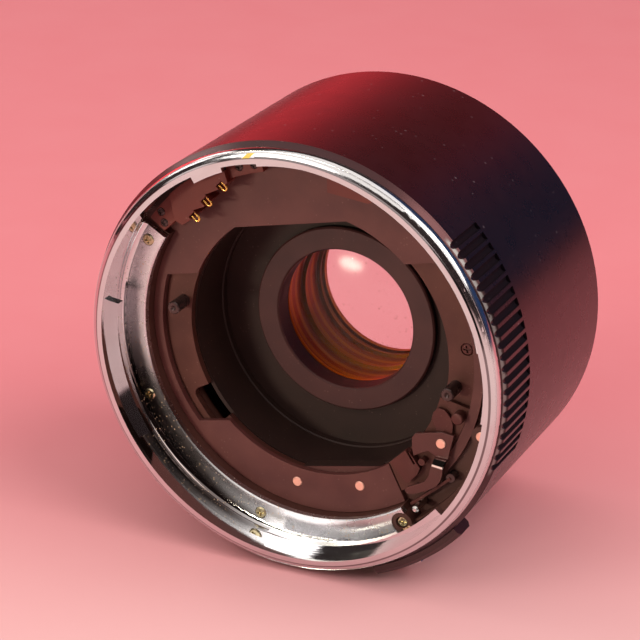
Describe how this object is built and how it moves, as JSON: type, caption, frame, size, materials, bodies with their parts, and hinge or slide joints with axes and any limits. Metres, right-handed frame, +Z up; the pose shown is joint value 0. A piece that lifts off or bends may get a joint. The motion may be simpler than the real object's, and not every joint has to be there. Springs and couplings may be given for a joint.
{
  "type": "camera teleconverter",
  "caption": "Medium-format camera teleconverter with a chrome bayonet, open aperture drive and lock levers, glass in an amber-lit cell.",
  "frame": {"origin": "centre of the rear seat plane on the optical axis", "axes": "+Y along the optical axis towards the camera, -Y towards the lens, +Z up as the object lies on its barrel, +X to the right seen from the lens side"},
  "size_m": [0.087, 0.0599, 0.087],
  "materials": {
    "barrel_black": "satin black paint over a drawn tube",
    "frame_black": "matte black anodised casting",
    "plate_black": "matte black anodised sheet",
    "bayonet_chrome": "polished chrome",
    "bead_red": "red enamel",
    "index_yellow": "yellow paint",
    "screw_zinc": "yellow passivated zinc",
    "rivet_nickel": "satin nickel",
    "steel_black": "blackened steel",
    "steel_bright": "ground steel",
    "slider_black": "satin black",
    "pad_metal": "polished",
    "block_black": "moulded black plastic",
    "contact_gold": "gold plated",
    "baffle_black": "matte light-trap black",
    "cell_black": "satin black anodised",
    "lens_glass": "polished and coated",
    "circuit_amber": "flexible circuit film"
  },
  "bodies": {
    "housing": {"alignment_bead": "bead_red", "barrel_shell": "barrel_black", "bayonet_screws": "screw_zinc", "cell_lock_ring": "cell_black", "circuit_strip": "circuit_amber", "contact_block": "block_black", "contact_block_screws": "steel_black", "contact_springs": "contact_gold", "front_bayonet_ring": "bayonet_chrome", "front_plate": "plate_black", "guide_block": "steel_black", "index_dot": "index_yellow", "lens_bezel": "cell_black", "lens_cell": "cell_black", "lens_element_1": "lens_glass", "lens_element_2": "lens_glass", "lens_element_3": "lens_glass", "lens_element_4": "lens_glass", "lens_element_5": "lens_glass", "lens_element_6": "lens_glass", "lens_spacer_1": "cell_black", "lens_spacer_2": "cell_black", "lens_spacer_3": "cell_black", "lever_spring": "steel_black", "light_baffle": "baffle_black", "main_frame": "frame_black", "mechanism_base": "steel_black", "plate_rivets": "rivet_nickel", "rear_bayonet": "bayonet_chrome", "rear_bayonet_screws": "screw_zinc", "rear_contact_blocks": "block_black", "rear_cover": "frame_black", "side_contact_block": "block_black", "side_contacts": "contact_gold", "small_stop_pin": "steel_black", "spring_post": "steel_black", "stop_pin": "steel_black"},
    "aperture_drive": {"drive_ring": "steel_black", "drive_posts": "steel_black", "drive_ring_screw": "steel_black", "transfer_bars": "steel_black", "rear_drive_ring": "steel_black"},
    "lock_pawl": {"lock_pawl": "steel_black"},
    "hook_lever": {"hook_lever": "steel_black", "lever_rivet": "rivet_nickel"},
    "release_slider": {"release_slider": "slider_black", "slider_pad": "pad_metal"},
    "lens_lock_pin": {"lens_lock_pin": "steel_bright"},
    "rear_contact_pin_1": {"rear_contact_pin_1": "contact_gold"},
    "rear_contact_pin_2": {"rear_contact_pin_2": "contact_gold"},
    "rear_contact_pin_3": {"rear_contact_pin_3": "contact_gold"},
    "rear_contact_pin_4": {"rear_contact_pin_4": "contact_gold"},
    "rear_contact_pin_5": {"rear_contact_pin_5": "contact_gold"}
  },
  "joints": [
    {"name": "aperture_drive_turn", "type": "hinge", "parent": "housing", "child": "aperture_drive", "pos_m": [0, -0.0388, 0], "axis": [0, -1, 0], "range_deg": [0, 44], "stiffness_Nm_per_rad": 0.02},
    {"name": "hook_lever_turn", "type": "hinge", "parent": "housing", "child": "hook_lever", "pos_m": [0.02736, -0.042, -0.01473], "axis": [0, 1, 0], "range_deg": [0, 8], "stiffness_Nm_per_rad": 0.002},
    {"name": "lock_pawl_turn", "type": "hinge", "parent": "housing", "child": "lock_pawl", "pos_m": [0.02736, -0.04115, -0.01473], "axis": [0, 1, 0], "range_deg": [-4, 0], "stiffness_Nm_per_rad": 0.002},
    {"name": "release_slider_turn", "type": "hinge", "parent": "housing", "child": "release_slider", "pos_m": [0, -0.0466, 0], "axis": [0, -1, 0], "range_deg": [0, 8], "stiffness_Nm_per_rad": 0.05},
    {"name": "lens_lock_pin_slide", "type": "slide", "parent": "housing", "child": "lens_lock_pin", "axis": [0, 1, 0], "range_m": [0, 0.0016]},
    {"name": "rear_contact_pin_1_slide", "type": "slide", "parent": "housing", "child": "rear_contact_pin_1", "axis": [0, -1, 0], "range_m": [0, 0.0008], "stiffness_N_per_m": 250},
    {"name": "rear_contact_pin_2_slide", "type": "slide", "parent": "housing", "child": "rear_contact_pin_2", "axis": [0, -1, 0], "range_m": [0, 0.0008], "stiffness_N_per_m": 250},
    {"name": "rear_contact_pin_3_slide", "type": "slide", "parent": "housing", "child": "rear_contact_pin_3", "axis": [0, -1, 0], "range_m": [0, 0.0008], "stiffness_N_per_m": 250},
    {"name": "rear_contact_pin_4_slide", "type": "slide", "parent": "housing", "child": "rear_contact_pin_4", "axis": [0, -1, 0], "range_m": [0, 0.0008], "stiffness_N_per_m": 250},
    {"name": "rear_contact_pin_5_slide", "type": "slide", "parent": "housing", "child": "rear_contact_pin_5", "axis": [0, -1, 0], "range_m": [0, 0.0008], "stiffness_N_per_m": 250}
  ],
  "couplings": [
    {"joint": "lock_pawl_turn", "follows": "hook_lever_turn", "ratio": -0.5},
    {"joint": "lens_lock_pin_slide", "follows": "release_slider_turn", "m_per_rad": 0.011459}
  ]
}
